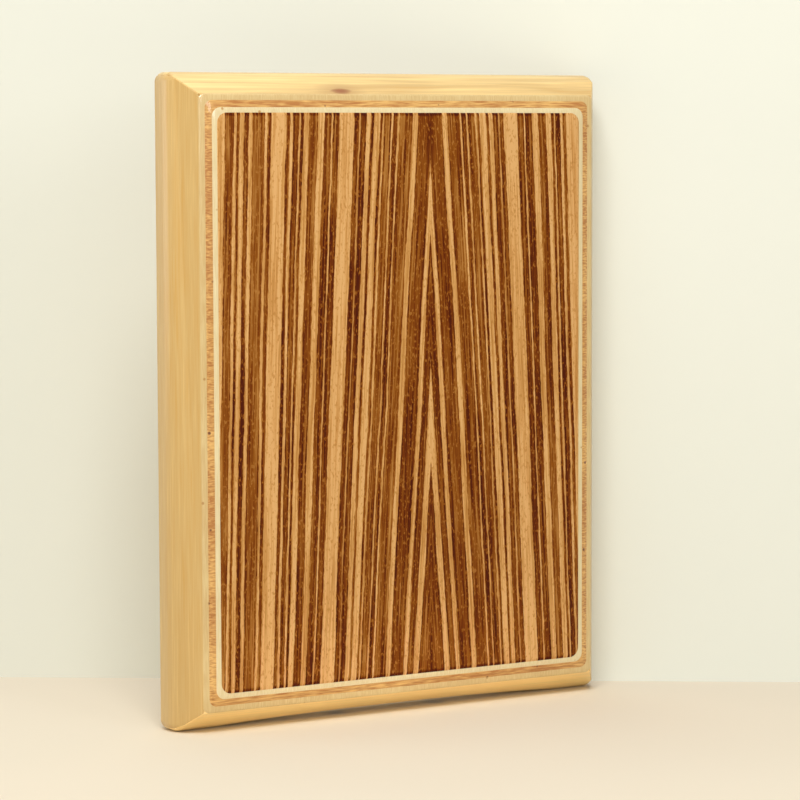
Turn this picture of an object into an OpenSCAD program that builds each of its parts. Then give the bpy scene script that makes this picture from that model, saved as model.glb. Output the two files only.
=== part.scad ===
// Lap cajon: a flat box drum of four mitred battens, a laminated playing plate,
// a screwed back panel with a sound hole, and two sets of snare strings inside,
// each drawn tight by a screw in the bottom rail.
// Millimetres. X to the player's right, Y from the playing face to the back, Z up.
// The origin is the middle of the underside.

/* [Body] */
// Outer width across the frame
body_w = 240; // [200:1:300]
// Outer height of the frame
body_h = 310; // [260:1:380]
// Depth from the playing face to the back
body_d = 29.5; // [28:0.5:45]

/* [Frame] */
// Width of a batten, from its outer face to its inner face
batten_w = 20; // [19:0.5:30]
// How far the sloped front runs in from the outer face
slope_w = 10.5; // [6:0.25:12]
// How far the sloped front runs back from the plate's edge
slope_d = 14; // [8:0.25:15]
// Radius of the ridge between the slope and the flat outer face
ridge_r = 1.25; // [0.5:0.25:4]
// Radius of the back edge
back_edge_r = 4; // [1:0.25:5]
// Radius of the frame's four corners, seen from the front
corner_r = 4.5; // [1:0.25:8]
// Width of the step in a batten's inner front edge, which leaves the plate free to move
free_edge_w = 4.5; // [2:0.25:5]
// Depth of that step
free_edge_d = 10; // [4:0.25:10]
// Length of the shallow hollow under the bottom rail
relief_span = 196; // [80:1:196]
// Height of that hollow at its middle
relief_h = 2.4; // [0.5:0.1:3]

/* [Playing plate] */
// Thickness of the striped face veneer
veneer_t = 0.4; // [0.3:0.05:1]
// Thickness of the pale ply under the veneer
face_ply_t = 0.4; // [0.3:0.05:1.2]
// Thickness of the brown core ply
core_ply_t = 0.8; // [0.5:0.05:2]
// Thickness of the pale ply that is glued to the frame
back_ply_t = 0.7; // [0.6:0.05:2]
// Width of the sloped rim of the veneer
veneer_rim_w = 1.5; // [0.5:0.1:3]
// Width of the pale band that shows beside the veneer
face_band_w = 2.5; // [1:0.1:4]
// Width of the brown band that shows
core_band_w = 3.3; // [1:0.1:5]
// Width of the pale band next to the frame's slope
back_band_w = 2.7; // [1:0.1:4]
// How far that outer band falls towards the slope
back_band_drop = 0.3; // [0.1:0.05:0.4]
// Corner radius of the plate at its outer edge
plate_corner_r = 2; // [0.5:0.25:5]
// Corner radius of the veneer
veneer_corner_r = 4.5; // [1:0.25:8]

/* [Back panel] */
// Thickness of the back panel
back_t = 6; // [3:0.5:7]
// Width of the ledge that carries the back panel
rebate_w = 8.5; // [6:0.5:9]
// Gap round the edge of the back panel
back_gap = 0.2; // [0.1:0.05:0.5]
// Diameter of the sound hole
hole_d = 60; // [40:1:90]
// Height of the sound hole's centre above the middle of the back
hole_rise = 10; // [-30:1:30]
// Diameter of the wood screws
screw_d = 3; // [2.5:0.1:3.5]
// Diameter of their countersunk heads
screw_head_d = 5.6; // [5:0.1:6.5]
// Length of the wood screws that hold the back panel
back_screw_l = 14; // [12:0.5:18]
// Distance between the screws along a stile
stile_screw_pitch = 110; // [70:1:115]
// Distance between the two screws on a rail
rail_screw_pitch = 130; // [100:1:150]
// Gap round a screw in its hole
screw_gap = 0.05; // [0.02:0.01:0.1]

/* [Corner blocks] */
// Length of the two glued sides of a corner block
block_leg = 20; // [12:1:26]
// Depth of a corner block
block_d = 15; // [8:0.5:18]

/* [Snare strings] */
// Diameter of the string wire
string_d = 0.5; // [0.4:0.05:0.8]
// Gap between the strings and the playing plate
string_gap = 0.3; // [0.3:0.05:0.6]
// Distance between the two strings of a set
string_pitch = 10; // [8:0.5:14]
// Distance of each set from the middle of the box
set_x = 28; // [20:0.5:40]
// Depth of the string ends behind the plate
string_end_d = 5; // [4:0.25:7]
// Diameter of the holes that the strings pass through
string_hole_d = 1.2; // [1:0.1:1.6]
// Diameter of the brass ball at the top end of a string
ball_d = 4; // [3:0.1:5]
// Length of that ball
ball_l = 3.5; // [2.5:0.1:4.5]
// Gap round the ball in its pocket
ball_gap = 0.2; // [0.1:0.05:0.4]
// Diameter of the brass crimp at the bottom end of a string
crimp_d = 3; // [2.4:0.1:4]
// Length of that crimp
crimp_l = 5; // [3:0.5:8]
// Gap round the wire inside a ball or a crimp
wire_gap = 0.05; // [0.02:0.01:0.1]

/* [Anchor bar] */
// Length of the bar that holds the string ends under the top rail
anchor_l = 104; // [98:1:140]
// Height of the anchor bar
anchor_h = 12; // [10:0.5:16]
// Depth of the anchor bar
anchor_d = 15; // [13:0.5:16]
// Distance between the two screws of the anchor bar
anchor_screw_pitch = 88; // [84:1:90]
// Distance of those screws from the back of the bar
anchor_screw_in = 4; // [3.5:0.25:5]
// Length of those screws
anchor_screw_l = 22; // [18:1:26]

/* [Bridge bars] */
// Height of a bridge bar
bridge_h = 8; // [5:0.5:12]
// Depth of a bridge bar
bridge_d = 12; // [8:0.5:13]
// Thickness of the felt between a bridge bar and the strings
felt_t = 1.5; // [1:0.1:2.5]
// Distance from the top rail down to the upper bridge bar
upper_bridge_drop = 30; // [24:1:40]
// Distance from the bottom rail up to the lower bridge bar
lower_bridge_rise = 46; // [44:1:60]

/* [Tension screws] */
// Diameter of the tension screw's thread
tension_d = 4; // [3:0.5:4]
// Diameter of its socket head
tension_head_d = 7; // [5.5:0.25:7]
// Height of its head
tension_head_h = 3.2; // [2.5:0.1:4]
// Width across the flats of the hexagon socket
hex_flats = 3; // [2:0.5:3]
// Depth of the hexagon socket
hex_depth = 2; // [1.5:0.1:2.4]
// Length of the screw past the string carriage
tension_spare = 9; // [4:0.5:10]
// Gap between the screw's thread and the holes it runs in
thread_gap = 0.06; // [0.02:0.01:0.1]
// Gap between the screw's head and its cup
head_gap = 0.15; // [0.1:0.05:0.3]
// Gap between the screw's head and the seat that it pulls against
seat_gap = 0.05; // [0.02:0.01:0.1]
// Wall of the bush round the screw's head
cup_wall = 0.65; // [0.5:0.05:0.8]
// Wall of the bush round the screw's thread
bush_wall = 1.1; // [0.8:0.1:1.4]
// Thickness of the bush's seat under the head
seat_t = 1.2; // [1:0.1:2]
// Height of the bush's mouth above the underside
mouth_z = 3; // [2.6:0.1:4]
// Gap round the bush in the bottom rail
bush_gap = 0.04; // [0.02:0.01:0.1]

/* [String carriages] */
// Height of a string carriage
carriage_h = 10; // [8:0.5:14]
// Metal outside the outer strings of a set
carriage_side = 4; // [3:0.5:6]
// Metal in front of the string holes
carriage_front = 2.5; // [2:0.25:3]
// Metal between the screw's thread and the back of a carriage
carriage_back = 1.5; // [1:0.1:2]
// Distance from the bottom rail up to a carriage
carriage_rise = 17; // [15:0.5:18]
// Gap between a carriage and the back panel that guides it
carriage_gap = 0.3; // [0.2:0.05:0.5]

/* [Hidden] */
$fn = 64;

// Colours as the object shows them
batten_colour = "#E3BE7E";
pale_ply_colour = "#EFDFB4";
core_ply_colour = "#D39A58";
veneer_colour = "#A8682E";
panel_colour = "#E2C48E";
block_colour = "#D9B980";
beech_colour = "#CFA06A";
felt_colour = "#6B6258";
steel_colour = "#B9BCC0";
black_steel_colour = "#2E2E30";
brass_colour = "#C9A24A";
alloy_colour = "#C4C6C8";

// Depths measured from the playing face
face_ply_depth = veneer_t;
core_ply_depth = face_ply_depth + face_ply_t;
back_ply_depth = core_ply_depth + core_ply_t;
plate_t = back_ply_depth + back_ply_t;
crease_depth = back_ply_depth + back_band_drop;
ridge_depth = crease_depth + slope_d;
panel_depth = body_d - back_t;

// Distances in from the frame's outer face
slope_run = slope_w / slope_d;
slope_angle = atan(slope_run);
ridge_back = ridge_r * tan(slope_angle / 2);
land_in = slope_w - (plate_t - crease_depth) * slope_run;
land_out = batten_w - free_edge_w;
core_rim_in = slope_w + back_band_w;
face_rim_in = core_rim_in + core_band_w;
veneer_rim_in = face_rim_in + face_band_w;
veneer_flat_in = veneer_rim_in + veneer_rim_w;
rebate_in = batten_w - rebate_w;
panel_in = rebate_in + back_gap;
screw_line_in = rebate_in + rebate_w / 2;

// The box's inside
inner_w = body_w - 2 * batten_w;
inner_low = batten_w;
inner_high = body_h - batten_w;

// The strings: along the plate between the bridges, further back at their ends
run_depth = plate_t + string_gap + string_d / 2;
end_depth = plate_t + string_end_d;
anchor_low = inner_high - anchor_h;
upper_bridge_high = inner_high - upper_bridge_drop;
lower_bridge_low = inner_low + lower_bridge_rise;
carriage_low = inner_low + carriage_rise;
carriage_high = carriage_low + carriage_h;
felt_depth = run_depth + string_d / 2 + wire_gap;
bridge_depth = felt_depth + felt_t;
// Clear length of wire between a bend and the edge that it bends beside
bend_gap = 0.5;
// Diameter of the rounding at a bend, a little over the wire's
bend_d = 1.1 * string_d;

// The anchor bar's pockets for the string balls
pocket_l = anchor_h / 2;
pocket_wall = 1;
ball_low = inner_high - pocket_l;
anchor_depth = end_depth - ball_d / 2 - ball_gap - pocket_wall;
anchor_screw_depth = anchor_depth + anchor_d - anchor_screw_in;

// The tension screws stand in the flat of the bottom rail, behind the ridge
head_recess = 0.8;
cup_d = tension_head_d + 2 * head_gap;
cup_l = tension_head_h + head_recess;
seat_z = mouth_z + cup_l;
bush_head_d = cup_d + 2 * cup_wall;
tension_depth = panel_depth - carriage_gap - carriage_back - tension_d / 2;
bush_step_z = seat_z + seat_t;
thread_hole_d = tension_d + 2 * thread_gap;
bush_d = thread_hole_d + 2 * bush_wall;
tension_top = carriage_high + tension_spare;
carriage_w = string_pitch + 2 * carriage_side;
carriage_depth = end_depth - carriage_front;

// A hair of extra length that carries a cut clean through a face
over = 1;
// Thickness of the thin slabs that a bevelled ply is stretched between
film = 0.02;

// Y of a depth behind the playing face
function y_at(depth) = depth - body_d / 2;

// Points of an arc, in steps, from one angle to another
function arc(centre, r, from, to, steps = 8) =
    [for (i = [0:steps]) let (a = from + (to - from) * i / steps) centre + r * [cos(a), sin(a)]];

// Section of a batten: x in from the outer face, y back from the playing face
module batten_section() {
    polygon(concat(
        [
            [batten_w, plate_t + free_edge_d], [land_out, plate_t + free_edge_d],
            [land_out, plate_t], [land_in, plate_t],
        ],
        arc([ridge_r, ridge_depth + ridge_back], ridge_r, 180 + slope_angle, 180),
        arc([back_edge_r, body_d - back_edge_r], back_edge_r, 180, 90),
        [[rebate_in, body_d], [rebate_in, panel_depth], [batten_w, panel_depth]]
    ));
}

// Rectangle with round corners, made of squares and circles
module round_rectangle(w, h, r) {
    square([w - 2 * r, h], center = true);
    square([w, h - 2 * r], center = true);
    for (x = [-1, 1], y = [-1, 1])
        translate([x * (w / 2 - r), y * (h / 2 - r)]) circle(r);
}

// Stands a shape drawn in X and Z up at a depth, with its thickness going back
module from_front(depth, thick) {
    translate([0, y_at(depth) + thick, body_h / 2])
        rotate([90, 0, 0]) linear_extrude(thick) children();
}

// A batten along X, seen at the bottom of the frame, mitred at both ends
module rail_blank() {
    half_w = body_w / 2;
    half_h = body_h / 2;
    intersection() {
        translate([0, -body_d / 2, 0])
            rotate([0, -90, 0]) linear_extrude(body_w, center = true) batten_section();
        from_front(0, body_d) intersection() {
            polygon([
                [-half_w, -half_h], [half_w, -half_h],
                [half_w - batten_w, batten_w - half_h], [batten_w - half_w, batten_w - half_h],
            ]);
            round_rectangle(body_w, body_h, corner_r);
        }
    }
}

// A batten along Z, seen at the left of the frame, mitred at both ends
module stile_blank() {
    half_w = body_w / 2;
    half_h = body_h / 2;
    intersection() {
        translate([-half_w, -body_d / 2, 0]) linear_extrude(body_h) batten_section();
        from_front(0, body_d) intersection() {
            polygon([
                [-half_w, -half_h], [-half_w, half_h],
                [batten_w - half_w, half_h - batten_w], [batten_w - half_w, batten_w - half_h],
            ]);
            round_rectangle(body_w, body_h, corner_r);
        }
    }
}

// Countersunk wood screw, its head flush at the origin and its point along +Z, grown by a gap
module wood_screw(length, gap = 0) {
    head_h = (screw_head_d - screw_d) / 2;
    point_h = screw_d;
    point_r = screw_d / 10;
    rotate_extrude() polygon([
        [0, -gap],
        [screw_head_d / 2 + gap, -gap],
        [screw_d / 2 + gap, head_h],
        [screw_d / 2 + gap, length - point_h],
        [point_r + gap, length + gap],
        [0, length + gap],
    ]);
}

// Every back panel screw, its head flush with the back and its point towards the front
module at_back_screws() {
    stile_x = body_w / 2 - screw_line_in;
    rail_z = body_h / 2 - screw_line_in;
    places = concat(
        [for (x = [-1, 1], z = [-1, 0, 1]) [x * stile_x, z * stile_screw_pitch]],
        [for (x = [-1, 1], z = [-1, 1]) [x * rail_screw_pitch / 2, z * rail_z]]
    );
    for (p = places)
        translate([p[0], body_d / 2, body_h / 2 + p[1]]) rotate([90, 0, 0]) children();
}

// The two tension screw axes, left and right
module at_tension_screw(side) {
    translate([side * set_x, y_at(tension_depth), 0]) children();
}

// The two strings of a set, at the depth of their ends
module at_string_ends(side, z) {
    for (s = [-1, 1])
        translate([side * set_x + s * string_pitch / 2, y_at(end_depth), z]) children();
}

// The anchor bar's two screws, heads down
module at_anchor_screws() {
    for (s = [-1, 1])
        translate([s * anchor_screw_pitch / 2, y_at(anchor_screw_depth), anchor_low]) children();
}

module left_stile() {
    color(batten_colour) difference() {
        stile_blank();
        at_back_screws() wood_screw(back_screw_l, screw_gap);
    }
}

module right_stile() {
    color(batten_colour) difference() {
        mirror([1, 0, 0]) stile_blank();
        at_back_screws() wood_screw(back_screw_l, screw_gap);
    }
}

module top_rail() {
    color(batten_colour) difference() {
        translate([0, 0, body_h]) mirror([0, 0, 1]) rail_blank();
        at_back_screws() wood_screw(back_screw_l, screw_gap);
        at_anchor_screws() wood_screw(anchor_screw_l, screw_gap);
    }
}

// The bottom rail is hollowed underneath and bored in steps for the two bushes
module bottom_rail() {
    relief_r = (relief_span * relief_span / 4 + relief_h * relief_h) / (2 * relief_h);
    color(batten_colour) difference() {
        rail_blank();
        at_back_screws() wood_screw(back_screw_l, screw_gap);
        translate([0, body_d, relief_h - relief_r])
            rotate([90, 0, 0]) cylinder(h = 2 * body_d, r = relief_r, $fn = 720);
        for (side = [-1, 1]) at_tension_screw(side) {
            translate([0, 0, -over])
                cylinder(h = bush_step_z + over, d = bush_head_d + 2 * bush_gap);
            cylinder(h = batten_w + over, d = bush_d + 2 * bush_gap);
        }
    }
}

// Three-sided block glued in an inner corner, flush with the ledge for the back panel
module corner_block(x_side, z_side) {
    x = x_side * inner_w / 2;
    z = z_side * (inner_high - inner_low) / 2;
    color(block_colour) from_front(panel_depth - block_d, block_d)
        polygon([[x, z], [x - x_side * block_leg, z], [x, z - z_side * block_leg]]);
}

// A slab of the plate, its outline so far in from the frame's outer face
module plate_slab(inset, depth, r) {
    from_front(depth, film)
        round_rectangle(body_w - 2 * inset, body_h - 2 * inset, r, $fn = 32);
}

// Corner radius of the plate's outline, growing from its outer edge to the veneer
function rim_r(inset) = plate_corner_r
    + (veneer_corner_r - plate_corner_r) * (inset - slope_w) / (veneer_rim_in - slope_w);

// Pale ply glued to the frame: its edge follows the frame's slope, then falls away inwards
module plate_back_ply() {
    color(pale_ply_colour) hull() {
        plate_slab(land_in, plate_t - film, plate_corner_r);
        plate_slab(slope_w, crease_depth, plate_corner_r);
        plate_slab(core_rim_in, back_ply_depth, rim_r(core_rim_in));
    }
}

module plate_core_ply() {
    color(core_ply_colour) hull() {
        plate_slab(core_rim_in, back_ply_depth - film, rim_r(core_rim_in));
        plate_slab(face_rim_in, core_ply_depth, rim_r(face_rim_in));
    }
}

module plate_face_ply() {
    color(pale_ply_colour) hull() {
        plate_slab(face_rim_in, core_ply_depth - film, rim_r(face_rim_in));
        plate_slab(veneer_rim_in, face_ply_depth, rim_r(veneer_rim_in));
    }
}

module striped_veneer() {
    color(veneer_colour) hull() {
        plate_slab(veneer_rim_in, face_ply_depth - film, rim_r(veneer_rim_in));
        plate_slab(veneer_flat_in, 0, rim_r(veneer_rim_in));
    }
}

module back_panel() {
    color(panel_colour) difference() {
        from_front(panel_depth, back_t)
            square([body_w - 2 * panel_in, body_h - 2 * panel_in], center = true);
        translate([0, body_d, body_h / 2 + hole_rise])
            rotate([90, 0, 0]) cylinder(h = 2 * body_d, d = hole_d);
        at_back_screws() wood_screw(back_screw_l, screw_gap);
    }
}

module back_panel_screws() {
    color(steel_colour) at_back_screws() wood_screw(back_screw_l);
}

// Hardwood bar under the top rail: each string hangs by its ball in a pocket
module string_anchor_bar() {
    color(beech_colour) difference() {
        translate([-anchor_l / 2, y_at(anchor_depth), anchor_low])
            cube([anchor_l, anchor_d, anchor_h]);
        for (side = [-1, 1]) {
            at_string_ends(side, anchor_low - over)
                cylinder(h = anchor_h + 2 * over, d = string_hole_d);
            at_string_ends(side, ball_low)
                cylinder(h = pocket_l + over, d = ball_d + 2 * ball_gap);
        }
        at_anchor_screws() wood_screw(anchor_screw_l, screw_gap);
    }
}

module anchor_bar_screws() {
    color(steel_colour) at_anchor_screws() wood_screw(anchor_screw_l);
}

// Bored cylinder on the end of a string
module string_end(d, length) {
    difference() {
        cylinder(h = length, d = d);
        translate([0, 0, -over])
            cylinder(h = length + 2 * over, d = string_d + 2 * wire_gap, $fn = 24);
    }
}

module string_ball_ends() {
    color(brass_colour) for (side = [-1, 1])
        at_string_ends(side, ball_low) string_end(ball_d, ball_l);
}

module string_crimps(side) {
    color(brass_colour)
        at_string_ends(side, carriage_low - crimp_l) string_end(crimp_d, crimp_l);
}

// Bar glued between the stiles behind the strings
module bridge_bar(low) {
    color(beech_colour) translate([-inner_w / 2, y_at(bridge_depth), low])
        cube([inner_w, bridge_d, bridge_h]);
}

// Felt strip on the front of a bridge bar, lightly on the strings
module bridge_felt(low) {
    color(felt_colour) translate([-inner_w / 2 + bend_gap, y_at(felt_depth), low])
        cube([inner_w - 2 * bend_gap, felt_t, bridge_h]);
}

// Straight wire between two points given as [depth, z]
module wire(a, b) {
    depth = b[0] - a[0];
    rise = b[1] - a[1];
    translate([0, y_at(a[0]), a[1]])
        rotate([-atan2(depth, rise), 0, 0])
            cylinder(h = norm([depth, rise]), d = string_d, $fn = 24);
}

// Two strings, each from its ball down over both bridges to its crimp
module snare_strings(side) {
    route = [
        [end_depth, ball_low + ball_l],
        [end_depth, anchor_low - bend_gap],
        [run_depth, upper_bridge_high + bend_gap],
        [run_depth, lower_bridge_low - bend_gap],
        [end_depth, carriage_high + bend_gap],
        [end_depth, carriage_low - crimp_l],
    ];
    last = len(route) - 1;
    color(steel_colour) for (s = [-1, 1])
        translate([side * set_x + s * string_pitch / 2, 0, 0]) {
            for (i = [0:last - 1]) wire(route[i], route[i + 1]);
            for (i = [1:last - 1])
                translate([0, y_at(route[i][0]), route[i][1]]) sphere(d = bend_d, $fn = 24);
        }
}

// Threaded block that the screw draws down, with a hole for each string of its set
module string_carriage(side) {
    depth_l = panel_depth - carriage_gap - carriage_depth;
    color(alloy_colour) difference() {
        translate([side * set_x - carriage_w / 2, y_at(carriage_depth), carriage_low])
            cube([carriage_w, depth_l, carriage_h]);
        at_string_ends(side, carriage_low - over)
            cylinder(h = carriage_h + 2 * over, d = string_hole_d);
        at_tension_screw(side) translate([0, 0, carriage_low - over])
            cylinder(h = carriage_h + 2 * over, d = thread_hole_d);
    }
}

// Socket-head screw, head down in the bush's cup and thread up through the carriage
module tension_screw(side) {
    head_low = seat_z - seat_gap - tension_head_h;
    color(black_steel_colour) at_tension_screw(side) difference() {
        union() {
            translate([0, 0, head_low]) cylinder(h = tension_head_h, d = tension_head_d);
            translate([0, 0, head_low + tension_head_h / 2])
                cylinder(h = tension_top - head_low - tension_head_h / 2, d = tension_d);
        }
        translate([0, 0, head_low - over])
            cylinder(h = hex_depth + over, d = hex_flats / cos(30), $fn = 6);
    }
}

// Stepped bush in the bottom rail: its cup takes the head, its step bears on the wood
module screw_bush(side) {
    color(steel_colour) at_tension_screw(side) difference() {
        union() {
            translate([0, 0, mouth_z]) cylinder(h = bush_step_z - mouth_z, d = bush_head_d);
            translate([0, 0, seat_z]) cylinder(h = batten_w - seat_z, d = bush_d);
        }
        translate([0, 0, mouth_z - over]) cylinder(h = cup_l + over, d = cup_d);
        translate([0, 0, mouth_z]) cylinder(h = batten_w, d = thread_hole_d);
    }
}

left_stile();
right_stile();
top_rail();
bottom_rail();
corner_block(-1, 1);  // corner_block_top_left
corner_block(1, 1);  // corner_block_top_right
corner_block(-1, -1);  // corner_block_bottom_left
corner_block(1, -1);  // corner_block_bottom_right
plate_back_ply();
plate_core_ply();
plate_face_ply();
striped_veneer();
back_panel();
back_panel_screws();
string_anchor_bar();
anchor_bar_screws();
string_ball_ends();
bridge_bar(upper_bridge_high - bridge_h);  // upper_bridge_bar
bridge_bar(lower_bridge_low);  // lower_bridge_bar
bridge_felt(upper_bridge_high - bridge_h);  // upper_bridge_felt
bridge_felt(lower_bridge_low);  // lower_bridge_felt
snare_strings(-1);  // snare_strings_left
snare_strings(1);  // snare_strings_right
string_carriage(-1);  // string_carriage_left
string_carriage(1);  // string_carriage_right
string_crimps(-1);  // string_crimps_left
string_crimps(1);  // string_crimps_right
tension_screw(-1);  // tension_screw_left
tension_screw(1);  // tension_screw_right
screw_bush(-1);  // screw_bush_left
screw_bush(1);  // screw_bush_right
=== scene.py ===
import math

import bmesh
import bpy
from mathutils import Matrix, Vector


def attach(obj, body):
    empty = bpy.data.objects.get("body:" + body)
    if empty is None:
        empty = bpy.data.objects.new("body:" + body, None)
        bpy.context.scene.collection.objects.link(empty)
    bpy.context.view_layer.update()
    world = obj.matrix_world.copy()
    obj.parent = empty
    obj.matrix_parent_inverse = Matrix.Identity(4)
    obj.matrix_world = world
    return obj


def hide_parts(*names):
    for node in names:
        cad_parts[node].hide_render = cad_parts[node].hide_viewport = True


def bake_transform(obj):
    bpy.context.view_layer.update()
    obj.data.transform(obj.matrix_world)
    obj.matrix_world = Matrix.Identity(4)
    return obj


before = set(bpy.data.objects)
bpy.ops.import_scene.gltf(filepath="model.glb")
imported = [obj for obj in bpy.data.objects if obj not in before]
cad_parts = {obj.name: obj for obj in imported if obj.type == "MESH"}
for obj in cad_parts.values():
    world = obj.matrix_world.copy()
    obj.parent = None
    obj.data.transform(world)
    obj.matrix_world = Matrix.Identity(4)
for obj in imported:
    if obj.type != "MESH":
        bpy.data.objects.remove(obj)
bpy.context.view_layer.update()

# The viewpoint. A long lens stands well back, to the drum's left and a little above its middle,
# so that upright edges stay nearly parallel and the top and left slopes show.
MM = 0.001
EYE = Vector((-768.4, -1291.4, 278.7))
EYE_TURN, EYE_DIP, EYE_ROLL = -30.94, 4.82, -0.19
SENSOR_W, LENS, SIGHT = 36.0, 139.5, 30.0


def placed(name, data):
    """Puts a thing in the scene under a name."""
    thing = bpy.data.objects.new(name, data)
    bpy.context.scene.collection.objects.link(thing)
    return thing


eye_data = bpy.data.cameras.new("viewpoint")
eye_data.sensor_width = SENSOR_W
eye_data.lens = LENS
eye_data.clip_end = SIGHT
eye = placed("viewpoint", eye_data)
eye.matrix_world = (
    Matrix.Translation(EYE * MM)
    @ Matrix.Rotation(math.radians(EYE_TURN), 4, "Z")
    @ Matrix.Rotation(math.radians(90.0 - EYE_DIP), 4, "X")
    @ Matrix.Rotation(math.radians(EYE_ROLL), 4, "Z")
)
bpy.context.scene.camera = eye

# The frame: four battens of pale pine, moulded in front to a long slope with a soft ridge and
# rebated behind for the back panel. They are mitred, glued, and sprayed with clear satin lacquer.
BODY_W, BODY_H, BODY_D = 240.0, 310.0, 29.5
MID_Z = BODY_H / 2
BATTEN_W = 20.0
LAND_IN, LAND_DEPTH = 10.2, 2.3
LIP_IN, LIP_DEPTH = 15.5, 12.3
RIDGE_DEPTH = 15.9
REBATE_IN, PANEL_DEPTH = 11.5, 23.5
# The batten's profile, as points (in from the outer face, back from the playing face)
RIDGE = (0.0, RIDGE_DEPTH)
BACK_EDGE = (0.0, BODY_D)
BATTEN_PROFILE = [
    (BATTEN_W, LIP_DEPTH), (LIP_IN, LIP_DEPTH), (LIP_IN, LAND_DEPTH), (LAND_IN, LAND_DEPTH), RIDGE,
    BACK_EDGE, (REBATE_IN, BODY_D), (REBATE_IN, PANEL_DEPTH), (BATTEN_W, PANEL_DEPTH),
]
# How far the ridge's rounding reaches, its radius, and the radius of the back edge
RIDGE_SOFT, RIDGE_R, BACK_R = 4.0, 12.0, 4.0
ROUND_STEPS = 8
# The corners are sanded round in small flats. Each turns about the corner and tilts, to the front
# over the ridge or to the back over the back edge, by (degrees, that edge's radius, its depth).
CORNER_R = 5.2
CORNER_TURNS = (86, 79, 72, 65, 58, 51)
CORNER_TILTS = [(tilt, RIDGE_R, RIDGE_DEPTH + RIDGE_SOFT) for tilt in (0.0, 14.0, 28.0)]
CORNER_TILTS += [(tilt, BACK_R, BODY_D - BACK_R) for tilt in (-30.0, -60.0)]
MITRE_EASE, SANDED = 0.45, 0.14
HOLLOW_CUTS = 95


def y_at(depth):
    """Y of a depth behind the playing face, in millimetres."""
    return depth - BODY_D / 2


def along_x(shape, inset, depth, half_across):
    """The edges of a batten that run along X at one corner of its profile."""
    corner = Vector((y_at(depth), inset - half_across))
    return [e for e in shape.edges if all((v.co.yz - corner).length < 1e-3 for v in e.verts)]


def ease(shape, edges, reach, steps, **more):
    """Rounds edges over so far in from each, in small steps."""
    bmesh.ops.bevel(
        shape, geom=edges, offset=reach, offset_type="OFFSET", segments=steps, profile=0.5,
        affect="EDGES", material=-1, **more,
    )


def bar_of(points, vec):
    """A bar with one section all along: a face through points, drawn out by a vector."""
    shape = bmesh.new()
    section = shape.faces.new([shape.verts.new(point) for point in points])
    grown = bmesh.ops.extrude_face_region(shape, geom=[section])
    tip = [v for v in grown["geom"] if isinstance(v, bmesh.types.BMVert)]
    bmesh.ops.translate(shape, verts=tip, vec=vec)
    return shape


def close_up(shape):
    """Fills what is open in a shape with flat faces."""
    bmesh.ops.holes_fill(shape, edges=[e for e in shape.edges if e.is_boundary], sides=0)


def saw(shape, point, normal):
    """Cuts away what lies beyond a plane and closes the cut."""
    geometry = shape.verts[:] + shape.edges[:] + shape.faces[:]
    bmesh.ops.bisect_plane(
        shape, geom=geometry, dist=1e-5, plane_co=point, plane_no=normal, clear_outer=True
    )
    close_up(shape)


def batten(half_length, half_across, hollow=None):
    """A mitred batten, drawn as the bottom one, about the middle of the frame."""
    shape = bar_of(
        [(-half_length, y_at(depth), inset - half_across) for inset, depth in BATTEN_PROFILE],
        (2 * half_length, 0, 0),
    )
    for (inset, depth), soft in ((RIDGE, RIDGE_SOFT), (BACK_EDGE, BACK_R)):
        ease(shape, along_x(shape, inset, depth, half_across), soft, ROUND_STEPS)
    if hollow:
        lengthways = [e for e in shape.edges if abs(e.verts[0].co.x - e.verts[1].co.x) > half_length]
        bmesh.ops.subdivide_edges(shape, edges=lengthways, cuts=HOLLOW_CUTS, use_grid_fill=True)
        for vert in shape.verts:
            vert.co.z += hollow(vert.co.x, vert.co.z + half_across)
    for side in (-1, 1):
        saw(shape, (side * half_length, 0, -half_across), (side, 0, 1))
        centre = Vector((side * (half_length - CORNER_R), 0, CORNER_R - half_across))
        for degrees in CORNER_TURNS:
            turn = math.radians(degrees)
            out = Vector((side * math.cos(turn), 0, -math.sin(turn)))
            for tilt_degrees, edge_r, edge_depth in CORNER_TILTS:
                tilt = math.radians(tilt_degrees)
                back = Vector((0, y_at(edge_depth - edge_r * math.sin(tilt)), 0))
                reach = CORNER_R - edge_r * (1 - math.cos(tilt))
                facing = math.cos(tilt) * out - Vector((0, math.sin(tilt), 0))
                saw(shape, centre + reach * out + back, facing)
    bmesh.ops.remove_doubles(shape, verts=shape.verts, dist=SANDED)
    bmesh.ops.recalc_face_normals(shape, faces=shape.faces)
    mitred = [f for f in shape.faces if abs(f.normal.x) > 0.7 and f.normal.z > 0.7]
    shape.edges.index_update()
    rims = sorted({edge for face in mitred for edge in face.edges}, key=lambda edge: edge.index)
    ease(shape, rims, MITRE_EASE, 1, clamp_overlap=True)
    return shape


def meshed(name, shape):
    """Turns a shape into a mesh and frees it."""
    mesh = bpy.data.meshes.new(name)
    shape.to_mesh(mesh)
    shape.free()
    return mesh


def carve(shape, tool):
    """Takes a tool's shape out of a piece, as a drill or a router does."""
    holders = []
    for drawn in (shape, tool):
        bmesh.ops.recalc_face_normals(drawn, faces=drawn.faces)
        holders.append(placed("carving", meshed("carving", drawn)))
    stock, cutter = holders
    cut = stock.modifiers.new("cut", "BOOLEAN")
    cut.operation, cut.solver, cut.object = "DIFFERENCE", "EXACT", cutter
    carved = bmesh.new()
    carved.from_object(stock, bpy.context.evaluated_depsgraph_get())
    for holder in holders:
        mesh = holder.data
        bpy.data.objects.remove(holder)
        bpy.data.meshes.remove(mesh)
    return carved


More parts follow.
